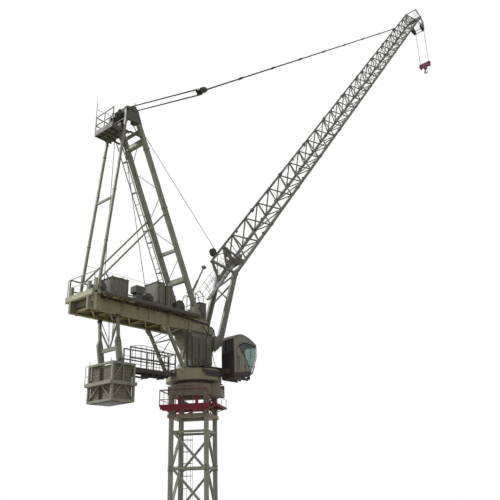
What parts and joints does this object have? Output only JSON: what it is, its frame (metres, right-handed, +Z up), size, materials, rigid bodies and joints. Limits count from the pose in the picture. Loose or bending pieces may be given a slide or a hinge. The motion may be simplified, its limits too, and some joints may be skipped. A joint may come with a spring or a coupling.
{
  "type": "luffing-jib tower crane, 1:2 scale model",
  "caption": "Luffing-jib tower crane on a square lattice mast, with a cab, a counter-jib, a hanging counterweight and a pinned lattice jib with hook; scale model at 1:2.",
  "frame": {"origin": "centre of the flat underside of the base frame, on the mast centre line", "axes": "+Z up the mast, +X towards the jib tip with the jib at its rest slewing angle, -Y the cab side"},
  "size_m": [22.6918, 1.9842, 30.6975],
  "materials": {
    "olive_paint": "weathered satin olive-grey paint",
    "dark_red_paint": "weathered dark red paint",
    "hook_paint": "worn red paint",
    "ballast_grey": "rough weathered grey",
    "cab_glass": "tinted glass",
    "housing_grey": "satin grey paint",
    "wire_rope": "greased wire rope",
    "dark_steel": "dark greasy steel",
    "turntable_grey": "satin light olive-grey paint",
    "winch_paint": "oily machine paint"
  },
  "bodies": {
    "mast": {"base_frame": "olive_paint", "mast_posts": "olive_paint", "mast_side_front": "olive_paint", "mast_side_left": "olive_paint", "mast_side_rear": "olive_paint", "mast_side_right": "olive_paint", "mast_ladder": "olive_paint", "mast_head": "olive_paint", "service_platform": "dark_red_paint", "slewing_race": "turntable_grey"},
    "upper_works": {"a_frame_cross_members": "olive_paint", "a_frame_head": "olive_paint", "a_frame_ladder": "olive_paint", "a_frame_legs": "olive_paint", "a_frame_struts": "olive_paint", "auxiliary_winch": "winch_paint", "back_stays": "olive_paint", "ballast_cage": "olive_paint", "ballast_hangers": "olive_paint", "ballast_slabs": "ballast_grey", "cab_glazing": "cab_glass", "cab_shell": "housing_grey", "cab_support": "housing_grey", "counter_jib_deck": "olive_paint", "counter_jib_girders": "olive_paint", "head_platform": "olive_paint", "hoist_winch": "winch_paint", "jib_back_stop": "olive_paint", "jib_pivot_brackets": "olive_paint", "knee_braces": "olive_paint", "luffing_winch": "winch_paint", "power_pack": "housing_grey", "rear_walkway": "olive_paint", "side_walkway_far": "olive_paint", "side_walkway_near": "olive_paint", "slewing_tower": "olive_paint", "switch_cabinets": "housing_grey", "tower_cabinets": "housing_grey", "turntable": "turntable_grey", "winch_ropes": "wire_rope"},
    "jib": {"jib_bottom_lattice": "olive_paint", "jib_chord_far": "olive_paint", "jib_chord_near": "olive_paint", "jib_foot_frame": "olive_paint", "jib_foot_legs": "olive_paint", "jib_foot_ties": "olive_paint", "jib_foot_walkway": "olive_paint", "jib_head": "olive_paint", "jib_side_far": "olive_paint", "jib_side_near": "olive_paint", "jib_top_chord": "olive_paint"},
    "pendant": {"pendant_bars": "dark_steel", "flying_block": "dark_steel"},
    "luffing_sheaves": {"flying_block_sheaves": "dark_steel"},
    "luffing_rope": {"luffing_rope_falls": "wire_rope"},
    "hoist_line": {"jib_head_sheaves": "dark_steel", "hoist_rope_falls": "wire_rope"},
    "hook_block": {"hook_block": "hook_paint"},
    "hook": {"hook": "hook_paint"}
  },
  "joints": [
    {"name": "slew", "type": "hinge", "parent": "mast", "child": "upper_works", "pos_m": [0, 0, 6.58], "axis": [0, 0, 1], "continuous": true},
    {"name": "jib_luff", "type": "hinge", "parent": "upper_works", "child": "jib", "pos_m": [0.61, 0, 7.675], "axis": [0, -1, 0], "range_deg": [-35, 30]},
    {"name": "pendant_swing", "type": "hinge", "parent": "jib", "child": "pendant", "pos_m": [15.22286, 0, 27.63366], "axis": [0, -1, 0], "range_deg": [-6, 6]},
    {"name": "luffing_rope_swing", "type": "hinge", "parent": "pendant", "child": "luffing_sheaves", "pos_m": [0.28002, 0, 15.76438], "axis": [0, -1, 0], "range_deg": [-16, 18]},
    {"name": "luffing_rope_reel", "type": "slide", "parent": "luffing_sheaves", "child": "luffing_rope", "axis": [-0.783, 0, -0.622], "range_m": [-3.6, 4.2], "deforming": ["luffing_rope_falls"]},
    {"name": "hook_plumb", "type": "hinge", "parent": "jib", "child": "hoist_line", "pos_m": [18.80076, 0, 29.83], "axis": [0, -1, 0], "range_deg": [-32, 37]},
    {"name": "hook_hoist", "type": "slide", "parent": "hoist_line", "child": "hook_block", "axis": [0, 0, 1], "range_m": [-12.5, 1.2], "deforming": ["hoist_rope_falls"]},
    {"name": "hook_swivel", "type": "hinge", "parent": "hook_block", "child": "hook", "pos_m": [18.99976, 0, 27.07], "axis": [0, 0, 1], "continuous": true}
  ],
  "couplings": [
    {"joint": "pendant_swing", "follows": "jib_luff", "ratio": 0.115},
    {"joint": "luffing_rope_swing", "follows": "jib_luff", "ratio": -0.45},
    {"joint": "luffing_rope_reel", "follows": "jib_luff", "m_per_rad": -6.1879},
    {"joint": "hook_plumb", "follows": "jib_luff", "ratio": -1}
  ]
}
